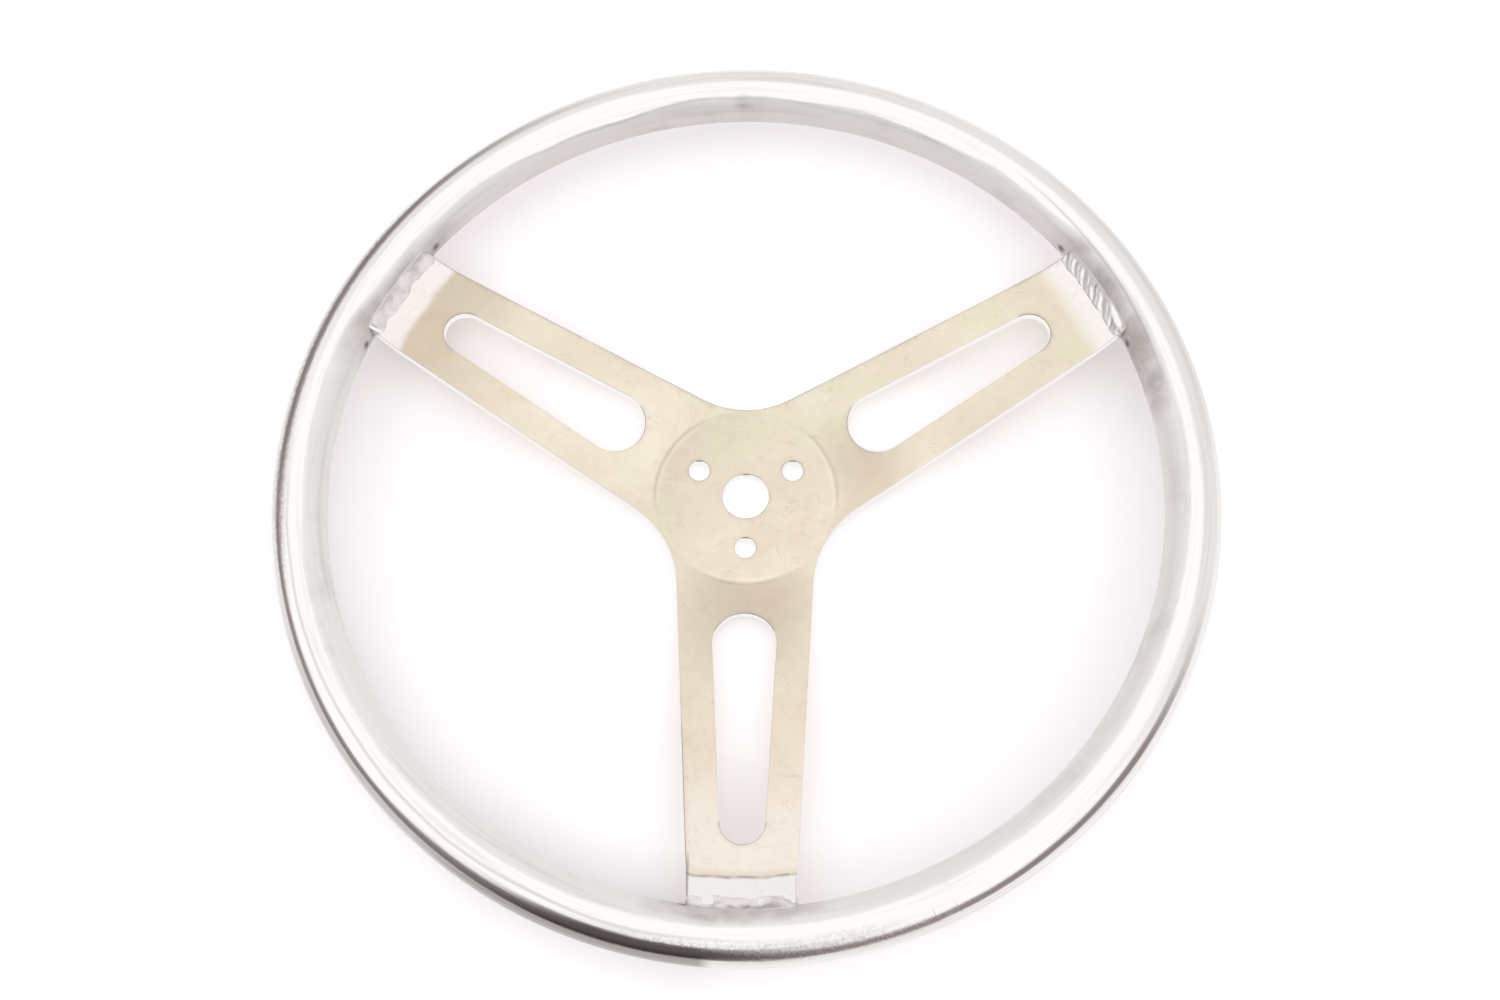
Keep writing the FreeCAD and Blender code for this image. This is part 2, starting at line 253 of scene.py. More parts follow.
def tube_finish(name):
    made, tree, shader, place = metal(name)
    ring = use(tree, rim_place, Place=place, Streak_length=5.0, Fineness=700.0)
    fine_streaks = use(tree, rim_place, Place=place, Streak_length=14.0, Fineness=2600.0)["Streaks"]
    wide_streaks = use(tree, rim_place, Place=place, Streak_length=1.6, Fineness=230.0)["Streaks"]
    outward, streaks = ring["Outward"], ring["Streaks"]

    def near(degrees, wide, soft):
        return near_turn(ring["Turn"], degrees, wide, soft)

    # the buff's edge, a wandering streaky line a little inside the tube's crown, and further in round the top
    round_top = near(97.0, 57.0, 5.0)
    wander = calc("SUBTRACT", speckle(place, 16.0, 4.0), 0.5)
    jags = times(calc("SUBTRACT", streaks, 0.5), calc("MULTIPLY_ADD", round_top, -0.13, 0.22))
    edge = plus(outward, times(round_top, 0.34), times(wander, 0.60), jags)
    dull = most(fade(edge, -0.18, -0.36), fade(ring["Up"], -0.55, -0.8))
    # dull bloom beside the spokes' welds, on the inward side
    spots = [times(near(degrees, wide, soft), fade(edge, -0.25, -0.60))
             for degrees, wide, soft in ((-91.0, 8.0, 5.0), (27.0, 11.0, 5.0), (17.5, 5.5, 3.0), (149.0, 9.0, 6.0))]
    bloom = times(most(*spots), fade(speckle(place, 75.0, 5.0), 0.30, 0.66, 0.30, 1.0))
    # a dark smut at the top, and painted shade in the corners where the spokes' edges meet the rim
    smut_and_corner_shade = times(spread(place, (-0.002, 0.1708, 0.0268), 0.0020, 0.0040), fade(streaks, 0.32, 0.6, 0.20, 0.6))
    reach = RING_RADIUS - TUBE_RADIUS
    for degrees, height in ((38.6, 0.0205), (21.4, 0.0205), (141.2, 0.0205), (159.0, 0.0205), (-97.4, 0.0225)):
        spot = (reach * math.cos(math.radians(degrees)), reach * math.sin(math.radians(degrees)), height)
        smut_and_corner_shade = most(smut_and_corner_shade, spread(place, spot, 0.0015, 0.0013))
    # brown grain left on the outer side, at the left and at the bottom
    left = times(near(166.0, 24.0, 10.0), fade(outward, 0.22, 0.45), fade(outward, 0.92, 0.70))
    low = times(near(-88.0, 14.0, 6.0), fade(outward, 0.10, 0.25), fade(outward, 0.80, 0.60))
    sand = speckle(place, 620.0, 3.0, 0.7)
    grain = most(times(left, fade(sand, 0.36, 0.62, 0.15, 0.75)), times(low, fade(sand, 0.40, 0.70, 0.0, 0.45)))
    # painted shade: the lower left of the outer side is darker, as far as a clear edge by the lower spoke
    lower_left_painted_shade = calc("MULTIPLY_ADD", near(-109.0, 18.0, 6.0), 0.50, times(near(-124.0, 36.0, 12.0), 0.75))
    lower_left_painted_shade = times(lower_left_painted_shade, near(-140.0, 46.0, 1.0), most(fade(outward, 0.62, 0.80), fade(ring["Up"], 0.05, -0.15)))
    lower_left_painted_shade = times(lower_left_painted_shade, fade(wide_streaks, 0.35, 0.6, 0.75, 1.0))
    # painted shade also darkens the outer side by the right spoke, without an edge
    right_painted_shade = times(near(27.0, 16.0, 12.0), fade(outward, 0.30, 0.62))
    # a thin dark line along the buff's edge, left of the top
    ledge = times(fade(edge, -0.23, -0.27), fade(edge, -0.35, -0.30), near(105.0, 18.0, 9.0))
    # sanding marks from the lower spoke to the butt joint
    sanded = near(-75.0, 15.0, 6.0)
    strokes = speckle(mapped(turned_by(place, 40.0), Scale=(260.0, 2200.0, 900.0)), 1.0, 2.0)
    smudge = fade(speckle(place, 38.0, 4.0, 0.6), 0.52, 0.72)
    # long grey lines that the buff left in the bright band: one low on the left, one above the right spoke
    drift = times(calc("SUBTRACT", speckle(ring["Turn"], 3.0, 3.0), 0.5), 0.25)
    left_line = times(line_at(plus(outward, drift), 0.22, 0.085, 0.02), near(-135.0, 40.0, 14.0))
    past = vector_calc("DOT_PRODUCT", ring["Turn"], (-0.5, 0.866, 0.0))["Value"]
    slanted = calc("SUBTRACT", plus(outward, times(drift, 0.4)), times(past, 0.42))
    right_line = times(line_at(slanted, -0.37, 0.075, 0.02), near(32.0, 15.0, 6.0))
    colour = layers(
        blend(dull, BUFFED_METAL, SATIN_METAL),
        (times(smudge, dull), 0.30, (0.62, 0.59, 0.58, 1.0)),
        (fade(wide_streaks, 0.52, 0.70), 0.34, (0.64, 0.60, 0.60, 1.0)),
        (fade(streaks, 0.5, 0.75), 0.25, (0.66, 0.63, 0.62, 1.0)),
        (most(left_line, right_line), 0.50, (0.54, 0.51, 0.50, 1.0)),
        (lower_left_painted_shade, 0.85, (0.42, 0.385, 0.375, 1.0)),
        (right_painted_shade, 0.32, (0.52, 0.50, 0.49, 1.0)),
        (ledge, 0.25, (0.42, 0.37, 0.35, 1.0)),
        (bloom, 0.74, WELD_BLOOM),
        (smut_and_corner_shade, 0.92, (0.16, 0.14, 0.13, 1.0)),
        (grain, 0.62, BROWN_GRAIN),
    )
    rough = plus(fade(streaks, 0.3, 0.75, 0.10, 0.19), times(dull, 0.44), times(most(times(bloom, 0.5), grain), 0.16),
                 times(sanded, fade(strokes, 0.35, 0.65, 0.0, 0.12)))
    metallic = calc("SUBTRACT", 1.0, times(dull, calc("MULTIPLY_ADD", round_top, 0.32, 0.60)))
    height = plus(times(streaks, 0.5), times(fine_streaks, 0.35), times(strokes, sanded, 0.6), times(grain, sand, 1.2))
    complete(shader, colour, rough, metallic, height, 0.16, 0.00035)
    return made


buffed_tube = tube_finish("buffed tube")
sections = np.arange(0, 360, 360 / 72)
rim = skin("rim_tube_buffed", tube_points(np.arange(0, 360, 0.75), sections, TUBE_RADIUS), True, {})
rim.data.materials.append(buffed_tube)
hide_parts("rim_tube")
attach(rim, "root")

# Butt weld of the rim. The groove between the tube's two ends was filled right round and then sanded nearly
# flush, so only a low uneven swelling is left under the sanding marks.
seam_low, seam_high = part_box("rim_seam_weld")
SEAM_HALF = 0.0046
SEAM_CROWN, SEAM_DEPTH = 0.00024, 0.0008
turns = np.linspace(-1.0, 1.0, 33)
lift = SEAM_CROWN * np.clip(1.0 - np.abs(turns) ** 1.6, 0.0, 1.0)
lumps = 0.75 + 0.25 * np.sin(np.radians(sections) * 7.0 + 0.8)
face = []
for step, rise in zip(turns, lift):
    degrees = SEAM_ANGLE + math.degrees(step * SEAM_HALF / RING_RADIUS)
    lap = -0.00012 if abs(step) > 0.99 else 0.00001
    face.append([tube_points([degrees], [section], TUBE_RADIUS + lap + rise * lump)[0][0]
                 for section, lump in zip(sections, lumps)])
back = [tube_points([SEAM_ANGLE + math.degrees(step * SEAM_HALF / RING_RADIUS)], sections, TUBE_RADIUS - SEAM_DEPTH)[0]
        for step in (0.8, -0.8)]
seam = skin("rim_seam_dressed", face + back, True, {})
seam.data.materials.append(buffed_tube)
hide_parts("rim_seam_weld")
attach(seam, "root")

# Spoke plate. Three spokes and the hub, cut by laser from one aluminium sheet and pressed to a shallow dish. The
# sheet keeps its mill finish, with faint clouds, fine scratches and pits, and its cut walls shine. The ends of the
# spokes past the last bend carry painted light, and painted light and shade lie round the hub's crease, on the
# hub's disc, along the cut edges and at the holes. The hub's face is left bare.
SHEET = 4.76
HUB_RADIUS = 37.5
ROOT_WIDTH, TIP_WIDTH = 55.2, 40.8
TIP_RADIUS, TIP_HEIGHT = 168.025, 21.05
TIP_RUN = 12.5
TIP_BEND = TIP_RADIUS - TIP_RUN
BEND_RADII = (2.0, 14.0)
TIP_SLOPE = math.tan(math.radians(22.0))
SPOKE_SLOPE = (TIP_HEIGHT - SHEET / 2 - TIP_RUN * TIP_SLOPE) / (TIP_BEND - HUB_RADIUS)
TAPER = math.atan((ROOT_WIDTH - TIP_WIDTH) / 2 / (TIP_RADIUS - HUB_RADIUS))
WEB_DEPTH = HUB_RADIUS + 0.6
TIP_ROUND = 0.9
EDGE_ROUND = 0.45
SLOT_RAIL, SLOT_START, SLOT_END = 13.4, 12.9, 23.8
BORE_RADIUS, BOLT_HOLE_RADIUS, BOLT_CIRCLE_RADIUS = 9.525, 4.35, 22.225
HOLES = ((BORE_RADIUS, 0.0, 0.0),) + tuple((BOLT_HOLE_RADIUS, BOLT_CIRCLE_RADIUS, degrees) for degrees in SPOKE_ANGLES)
MILL_METAL = (0.815, 0.727, 0.590, 1.0)
BROWN_TONE_AND_SHADE_METAL = (0.56, 0.455, 0.345, 1.0)
PAINTED_LIGHT_END_METAL = (0.94, 0.885, 0.862, 1.0)
CUT_METAL = (1.0, 0.985, 0.965, 1.0)


def sheet_face(radius, side):
    """Height and slope of one face of the dished sheet at each radius: side is 1 on the front and -1 on the back."""
    angles = (0.0, math.atan(SPOKE_SLOPE), math.atan(TIP_SLOPE))
    corners = ((HUB_RADIUS, SHEET / 2), (TIP_BEND, SHEET / 2 + (TIP_BEND - HUB_RADIUS) * SPOKE_SLOPE))
    shift = side * SHEET / 2
    height, slope = np.full(radius.shape, SHEET / 2 + shift), np.zeros(radius.shape)
    for (x, z), bend, before, after in zip(corners, BEND_RADII, angles, angles[1:]):
        middle = bend + SHEET / 2
        setback = middle * math.tan((after - before) / 2)
        centre = (x - setback * math.cos(before) - middle * math.sin(before),
                  z - setback * math.sin(before) + middle * math.cos(before))
        out = middle - shift
        start, stop = centre[0] + out * math.sin(before), centre[0] + out * math.sin(after)
        run = np.clip(radius, start, stop) - centre[0]
        curve = (radius >= start) & (radius <= stop)
        height = np.where(curve, centre[1] - np.sqrt(out ** 2 - run ** 2), height)
        slope = np.where(curve, run / np.sqrt(out ** 2 - run ** 2), slope)
        past = radius > stop
        height = np.where(past, z + (radius - x) * math.tan(after) + shift / math.cos(after), height)
        slope = np.where(past, math.tan(after), slope)
    return height, slope


def turn_flat(points, degrees):
    angle = math.radians(degrees)
    return np.stack([points[:, 0] * math.cos(angle) - points[:, 1] * math.sin(angle),
                     points[:, 0] * math.sin(angle) + points[:, 1] * math.cos(angle)], axis=-1)


def straight(start, end, inward, gap=0.7):
    steps = max(2, round(math.dist(start, end) / gap))
    part = np.linspace(0.0, 1.0, steps, endpoint=False)[:, None]
    return np.array(start) + part * (np.array(end) - np.array(start)), np.tile(np.array(inward, float), (steps, 1))


def bow(centre, radius, first, last, inward, gap=0.7):
    """Points on an arc and their directions into the metal, which is away from the centre where inward is 1."""
    steps = max(4, round(abs(last - first) * radius / gap))
    angle = np.linspace(first, last, steps, endpoint=False)
    out = np.stack([np.cos(angle), np.sin(angle)], axis=-1)
    return np.array(centre) + radius * out, inward * out


def spoke_run():
    """A third of the outline, round one spoke along X and the hollow arc after it, with the metal on the left."""
    foot, along = np.array((HUB_RADIUS, ROOT_WIDTH / 2)), np.array((math.cos(TAPER), -math.sin(TAPER)))
    outward, bisector = np.array((-along[1], along[0])), np.array((0.5, math.sqrt(0.75)))
    lean = outward @ bisector
    web = (WEB_DEPTH * lean - outward @ foot) / (1 - lean)
    web_centre = bisector * (WEB_DEPTH + web)
    left_start = web_centre - outward * web
    ahead = foot @ along
    corner = foot + along * (math.sqrt(ahead ** 2 - foot @ foot + TIP_RADIUS ** 2) - ahead)
    tip_out = corner / np.linalg.norm(corner)
    centre = corner - TIP_ROUND * (outward + tip_out) / (1 + outward @ tip_out)
    flip = np.array((1.0, -1.0))
    side_end, tip_start = centre + TIP_ROUND * outward, centre + TIP_ROUND * tip_out
    half = math.atan2(tip_start[1], tip_start[0])
    first, last = math.atan2(outward[1], outward[0]), math.atan2(tip_out[1], tip_out[0])
    web_first = math.atan2(*(-outward)[::-1])
    return [
        straight(left_start * flip, side_end * flip, -outward * flip),
        bow(centre * flip, TIP_ROUND, -first, -last, -1.0, 0.3),
        bow((0.0, 0.0), TIP_RADIUS, -half, half, -1.0),
        bow(centre, TIP_ROUND, last, first, -1.0, 0.3),
        straight(side_end, left_start, -outward),
        bow(web_centre, web, web_first, math.radians(120.0) - web_first - 2 * math.pi, 1.0),
    ]


def slot_run():
    """One slot's outline along X, with the metal on the left."""
    spread_out = ROOT_WIDTH / 2 * math.cos(TAPER) + HUB_RADIUS * math.sin(TAPER) - SLOT_RAIL
    inner = (HUB_RADIUS + SLOT_START + spread_out) / (1 + math.sin(TAPER))
    outer = (TIP_RADIUS - SLOT_END - spread_out) / (1 - math.sin(TAPER))
    small, large = spread_out - outer * math.sin(TAPER), spread_out - inner * math.sin(TAPER)
    lean, right = math.pi / 2 - TAPER, np.array((math.sin(TAPER), math.cos(TAPER)))
    flip = np.array((1.0, -1.0))
    near, far = np.array((inner, 0.0)), np.array((outer, 0.0))
    return [
        bow(far, small, lean, -lean, 1.0, 0.5),
        straight(far + small * right * flip, near + large * right * flip, right * flip),
        bow(near, large, -lean, -(2 * math.pi - lean), 1.0, 0.5),
        straight(near + large * right, far + small * right, right),
    ]


def loop(runs, degrees=0.0):
    points = turn_flat(np.concatenate([run[0] for run in runs]), degrees)
    return points, turn_flat(np.concatenate([run[1] for run in runs]), degrees)


outline = [loop(spoke_run(), degrees) for degrees in SPOKE_ANGLES]
loops = [(np.concatenate([p for p, n in outline]), np.concatenate([n for p, n in outline]))]
loops += [loop(slot_run(), degrees) for degrees in SPOKE_ANGLES]
for hole, distance, degrees in HOLES:
    centre = (distance * math.cos(math.radians(degrees)), distance * math.sin(math.radians(degrees)))
    loops.append(loop([bow(centre, hole, 0.0, -2 * math.pi, 1.0, 0.4)]))


def inside(points, loops):
    """Which points lie in the metal: a count of the outlines crossed on the way out."""
    crossed = np.zeros(len(points), dtype=int)
    for corners, _ in loops:
        ends = np.roll(corners, -1, axis=0)
        for (ax, ay), (bx, by) in zip(corners, ends):
            if ay != by:
                level = (ay > points[:, 1]) != (by > points[:, 1])
                crossed += level & (points[:, 0] < (bx - ax) * (points[:, 1] - ay) / (by - ay) + ax)
    return crossed % 2 == 1


def inner_points(loops):
    """Points over the sheet's face: a net of triangles, and close rings where the sheet bends."""
    spots, limit, step_x, step_y = [], 170.0, 2.3, 2.0
    for row, y in enumerate(np.arange(-limit, limit, step_y)):
        spots += [(x, y) for x in np.arange(-limit, limit, step_x) + (row % 2) * step_x / 2]
    spots = np.array(spots)
    reach = np.hypot(spots[:, 0], spots[:, 1])
    bends = (np.abs(reach - HUB_RADIUS) < 1.6) | (np.abs(reach - TIP_BEND) < 5.4)
    spots = list(spots[~bends])
    rings = [HUB_RADIUS + d for d in (-1.2, -0.55, -0.15, 0.08, 0.5, 1.2)]
    rings += [TIP_BEND + d for d in np.arange(-4.6, 4.7, 0.8)]
    for k, ring in enumerate(rings):
        count = int(ring * 2 * math.pi / 1.1)
        angle = (np.arange(count) + 0.5 * (k % 2)) * 2 * math.pi / count
        spots += list(np.stack([ring * np.cos(angle), ring * np.sin(angle)], axis=-1))
    spots = np.array(spots)
    spots = spots[inside(spots, loops)]
    edge = np.concatenate([points for points, _ in loops])
    clear = np.array([np.min(np.sum((edge - p) ** 2, axis=1)) > 1.0 ** 2 for p in spots])
    return spots[clear]


def plate_mesh(name):
    faces, points, normals, wall, edge_painted_shade = [], [], [], [], []

    def lay(flat, side, sink, lean, inward, edge_shade_weight=0.0):
        """Adds points sunk below one face of the sheet, leaning out to the cut wall, and returns their numbers."""
        radius = np.hypot(flat[:, 0], flat[:, 1])
        height, slope = sheet_face(radius, side)
        tilt = -slope / np.maximum(radius, 1e-6)
        up = np.stack([tilt * flat[:, 0], tilt * flat[:, 1], np.ones(len(flat))], axis=-1)
        up *= side / np.linalg.norm(up, axis=1)[:, None]
        out = np.stack([-inward[:, 0], -inward[:, 1], np.zeros(len(flat))], axis=-1)
        start = len(points)
        points.extend(np.column_stack([flat, height - side * sink]))
        normals.extend(math.cos(lean) * up + math.sin(lean) * out)
        wall.extend([max(0.0, math.sin(lean) * 1.6 - 0.6)] * len(flat))
        held = min(1.0, max(0.0, math.sin(2.0 * lean) * 1.3) + (0.2 if lean == 0.0 else 0.0))
        edge_painted_shade.extend(np.full(len(flat), held) * edge_shade_weight)
        return list(range(start, len(points)))

    rounding = [math.radians(t) for t in (0.0, 22.5, 45.0, 67.5, 90.0)]
    edges = []
    for index, (corners, inward) in enumerate(loops):
        # painted shade and dark reflection along the spokes' upper edges, down the left of the lower one and round the
        # ends of the slots
        reach = np.hypot(corners[:, 0], corners[:, 1])
        if index == 0:
            left_edge = 0.8 * (inward[:, 0] > 0.9) * np.clip((-corners[:, 1] - 60.0) / 50.0, 0.0, 1.0)
            edge_shade_weight = np.maximum(np.clip(-inward[:, 1], 0.0, 1.0), left_edge)
        else:
            edge_shade_weight = 0.8 * ((reach < 59.0) | (reach > 136.0)) if index < 4 else 0.5
        rows = []
        for side, leans in ((1, rounding), (-1, rounding[::-1])):
            for lean in leans:
                flat = corners + inward * EDGE_ROUND * (1.0 - math.sin(lean))
                rows.append(lay(flat, side, EDGE_ROUND * (1.0 - math.cos(lean)), lean, inward, edge_shade_weight))
        count = len(corners)
        for upper, lower in zip(rows, rows[1:]):
            faces.extend((upper[i], lower[i], lower[(i + 1) % count], upper[(i + 1) % count]) for i in range(count))
        edges.append((rows[0], rows[-1]))
    free = inner_points(loops)
    for index, side in ((0, 1), (1, -1)):
        own = lay(free, side, 0.0, 0.0, np.zeros(free.shape))
        numbers = [n for pair in edges for n in pair[index]] + own
        flat = [Vector((points[n][0], points[n][1])) for n in numbers]
        fences, start = [], 0
        for pair in edges:
            count = len(pair[index])
            fences += [(start + i, start + (i + 1) % count) for i in range(count)]
            start += count
        spots, _, found, source, _, _ = delaunay_2d_cdt(flat, fences, [], 1, 1e-5, True)
        number = [numbers[s[0]] for s in source]
        found = np.array([f for f in found if len(f) == 3])
        place = np.array([(s.x, s.y) for s in spots])
        corner = place[found]
        turned_left = np.cross(corner[:, 1] - corner[:, 0], corner[:, 2] - corner[:, 0])
        kept = inside(corner.mean(axis=1), [(np.array([points[n][:2] for n in pair[index]]), None) for pair in edges])
        for triangle, area, keep in zip(found, turned_left, kept):
            if keep and abs(area) > 1e-9:
                chosen = [number[v] for v in triangle]
                faces.append(tuple(chosen if (area > 0) == (side > 0) else chosen[::-1]))
    mesh = bpy.data.meshes.new(name)
    mesh.from_pydata([tuple(float(v) / 1000 for v in p) for p in points], [], faces)
    mesh.polygons.foreach_set("use_smooth", [True] * len(mesh.polygons))
    for label, values in (("cut wall", wall), ("edge_painted_shade", edge_painted_shade)):
        layer = mesh.attributes.new(label, "FLOAT", "POINT")
        layer.data.foreach_set("value", values)
    mesh.normals_split_custom_set_from_vertices([tuple(n / np.linalg.norm(n)) for n in normals])
    made = bpy.data.objects.new(name, mesh)
    bpy.context.scene.collection.objects.link(made)
    return made


# Fine scratches that cross each other: thin lines where stretched noise passes its middle
scratches, given, result = effect(
    "fine scratches",
    [("Place", "NodeSocketVector", None), ("Density", "NodeSocketFloat", 60.0), ("Thinness", "NodeSocketFloat", 0.02)],
    [("Lines", "NodeSocketFloat")],
)
lines = []
for k, degrees in enumerate((12.0, 71.0, 128.0)):
    turned_place = turned_by(given["Place"], degrees)
    long_place = mapped(turned_place, Location=(k * 7.0, k * 3.0, 0.0), Scale=(0.09, 1.0, 1.0))
    wave = add(scratches, "ShaderNodeTexNoise", {},
               {"Vector": long_place, "Scale": given["Density"], "Detail": 1.0, "Distortion": 0.15}).outputs[0]
    line = calc("LESS_THAN", calc("ABSOLUTE", calc("SUBTRACT", wave, 0.5)), given["Thinness"])
    lines.append(times(line, fade(speckle(turned_place, 90.0 + 30.0 * k, 2.0, 0.5), 0.52, 0.66)))
scratches.links.new(most(*lines), result["Lines"])


def mill_finish(name):
    made, tree, shader, place = metal(name)
    cut, edge_painted_shade = (add(tree, "ShaderNodeAttribute", {"attribute_name": label}).outputs["Fac"]
                  for label in ("cut wall", "edge_painted_shade"))
    parts, flat, reach, toward = about_axis(place)
    clouds = speckle(place, 22.0, 4.0, 0.55)
    shifted = mapped(place, Location=(3.1, 1.7, 0.4))
    mottle = speckle(place, 240.0, 4.0, 0.65)
    pits = fade(speckle(place, 1400.0, 1.0), 0.70, 0.78)
    marks = use(tree, scratches, Place=place, Density=420.0, Thinness=0.010)["Lines"]
    # darker and browner: painted shade round the crease on the lower and right spokes, and darker metal towards the
    # left spoke's end
    crease_at = HUB_RADIUS / 1000
    outside = fade(reach, crease_at - 0.0004, crease_at + 0.0004)
    brown_tone_and_painted_shade = most(spread(flat, (0.001, -0.050, 0.0), 0.022, 0.016), spread(flat, (0.048, 0.017, 0.0), 0.013, 0.018))
    left_end = times(near_turn(toward, 150.0, 30.0, 8.0), fade(reach, 0.112, 0.146))
    brown_tone_and_painted_shade = times(most(times(brown_tone_and_painted_shade, outside), left_end), fade(clouds, 0.25, 0.6, 0.65, 1.0))
    # painted light: paler metal at the root of the left spoke and towards the end of the lower one
    pale = times(spread(flat, (-0.052, 0.030, 0.0), 0.016, 0.026), outside)
    lower_end_painted_light = times(near_turn(toward, -90.0, 30.0, 8.0), fade(reach, 0.100, 0.142))
    # painted shade: the hub's disc is darker towards its upper left
    disc = fade(reach, crease_at + 0.0004, crease_at - 0.0004)
    lean = plus(vector_calc("DOT_PRODUCT", flat, (-0.8, 0.6, 0.0))["Value"], times(calc("SUBTRACT", clouds, 0.5), 0.02))
    hub_painted_shade = times(disc, fade(lean, 0.004, 0.034))
    # painted light: the end of each spoke past the last bend is brighter
    wander = times(calc("SUBTRACT", speckle(place, 60.0, 2.0), 0.5), 0.004)
    lower, right = near_turn(toward, -90.0, 40.0, 5.0), near_turn(toward, 30.0, 40.0, 5.0)
    edge = plus(TIP_BEND / 1000 - 0.0002, times(lower, 0.0020), times(right, 0.0004))
    past = calc("SUBTRACT", plus(reach, wander), edge)
    painted_light_end = fade(past, calc("MULTIPLY_ADD", lower, 0.0012, calc("MULTIPLY_ADD", right, -0.0030, -0.0016)),
                   calc("MULTIPLY_ADD", lower, -0.0010, calc("MULTIPLY_ADD", right, 0.0024, 0.0018)))
    # the crease round the hub shows in three stretches only, as a soft line of painted shade with a painted highlight
    # inside it
    shown = most(near_turn(toward, 20.0, 26.0, 10.0), near_turn(toward, -92.0, 22.0, 12.0),
                 near_turn(toward, 152.0, 30.0, 10.0), 0.06)
    crease_painted_shade = times(shown, line_at(reach, crease_at, 0.0011, 0.0002))
    crease_painted_highlight = times(shown, line_at(reach, crease_at - 0.0016, 0.0010, 0.0002))
    # the lower spoke's last bend shows as a broken line of painted shade
    bend = times(line_at(past, -0.0004, 0.0009, 0.0002), lower, fade(speckle(place, 190.0, 3.0), 0.38, 0.58, 0.38, 1.0))
    # painted shade down both edges of the lower spoke's end, less on the right
    left_edge_shade = times(line_at(parts[0], -0.0206, 0.0009, 0.0003), fade(parts[1], -0.146, -0.152))
    right_edge_shade = times(line_at(parts[0], 0.0205, 0.0006, 0.0002), fade(parts[1], -0.1555, -0.158))
    # a painted dark reflection along the far edge of each hole
    spots = []
    for hole, distance, degrees in HOLES:
        x, y = (distance * math.cos(math.radians(degrees)), distance * math.sin(math.radians(degrees)))
        spots.append(spread(flat, (x / 1000, (y + hole) / 1000, 0.0), 0.0013, 0.0003))
    hole_painted_glint = times(most(*spots), fade(parts[2], 0.0035, 0.0038), cut)
    # the painted shade on the cut edges breaks up in patches
    edge_painted_shade = times(edge_painted_shade, fade(speckle(place, 50.0, 3.0), 0.36, 0.58, 0.25, 1.0))
    colour = layers(
        blend(fade(clouds, 0.35, 0.68), MILL_METAL, (0.885, 0.805, 0.665, 1.0)),
        (fade(speckle(place, 31.0, 3.0), 0.50, 0.66), 0.6, (0.82, 0.69, 0.56, 1.0)),
        (fade(speckle(shifted, 26.0, 2.0), 0.50, 0.68), 0.5, (0.80, 0.77, 0.57, 1.0)),
        (pale, 0.6, (0.96, 0.88, 0.76, 1.0)),
        (lower_end_painted_light, 0.8, (0.92, 0.84, 0.76, 1.0)),
        (hub_painted_shade, 0.30, (0.64, 0.56, 0.45, 1.0)),
        (brown_tone_and_painted_shade, 0.58, BROWN_TONE_AND_SHADE_METAL),
        (fade(mottle, 0.5, 0.75), 0.14, (0.70, 0.62, 0.52, 1.0)),
        (painted_light_end, 1.0, blend(lower, PAINTED_LIGHT_END_METAL, (1.0, 0.965, 0.945, 1.0))),
        (crease_painted_shade, 0.40, (0.55, 0.46, 0.38, 1.0)),
        (crease_painted_highlight, 0.22, (1.0, 0.93, 0.82, 1.0)),
        (bend, 0.60, (0.36, 0.31, 0.27, 1.0)),
        (most(left_edge_shade, times(right_edge_shade, 0.5)), 0.60, (0.30, 0.25, 0.22, 1.0)),
        (marks, 0.22, (0.60, 0.52, 0.42, 1.0)),
        (pits, 0.35, (0.42, 0.36, 0.30, 1.0)),
        (cut, 1.0, CUT_METAL),
        (hole_painted_glint, 0.8, (0.20, 0.18, 0.15, 1.0)),
        (edge_painted_shade, 0.80, (0.20, 0.165, 0.155, 1.0)),
    )
    rough = calc("SUBTRACT", plus(fade(mottle, 0.3, 0.7, 0.30, 0.42), times(marks, 0.1)), times(cut, 0.14))
    metallic = calc("SUBTRACT", 1.0, times(painted_light_end, lower, 0.6))
    drag = times(speckle(mapped(place, Scale=(1500.0, 1500.0, 60.0)), 1.0, 1.0), cut)
    height = calc("SUBTRACT", plus(times(mottle, 0.5), times(drag, 1.2)), times(most(marks, pits), 0.5))
    complete(shader, colour, rough, metallic, height, 0.25, 0.0001)
    return made


plate = plate_mesh("spoke_plate_dished")
plate.data.materials.append(mill_finish("mill finish sheet"))
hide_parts("spoke_plate")
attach(plate, "root")

# Welds between the spokes and the rim. Six runs of fillet weld, laid by hand puddle by puddle across each spoke's
# end on both faces, so every run differs: the right one shows crescents with painted highlights and shade and ends
# in a long crater with a painted highlight, the left one is flat and grey with a ragged edge, and the lower one is
# lumpy.
bead_tree = bpy.data.node_groups.new("weld puddles", "GeometryNodeTree")
bead_sockets = {}
for label in ("Geometry", "Puddles", "Puddle height", "Crescent", "Slant", "Lumps", "Lump fineness", "Seed", "Finish"):
    kind = {"Geometry": "NodeSocketGeometry", "Finish": "NodeSocketMaterial"}.get(label, "NodeSocketFloat")
    bead_sockets[label] = bead_tree.interface.new_socket(label, in_out="INPUT", socket_type=kind).identifier
bead_tree.interface.new_socket("Geometry", in_out="OUTPUT", socket_type="NodeSocketGeometry")
given, result = bead_tree.nodes.new("NodeGroupInput").outputs, bead_tree.nodes.new("NodeGroupOutput").inputs


def stored(label, kind="FLOAT"):
    """What weld_run stored on the bead's points."""
    return add(bead_tree, "GeometryNodeInputNamedAttribute", {"data_type": kind}, {"Name": label}).outputs[0]


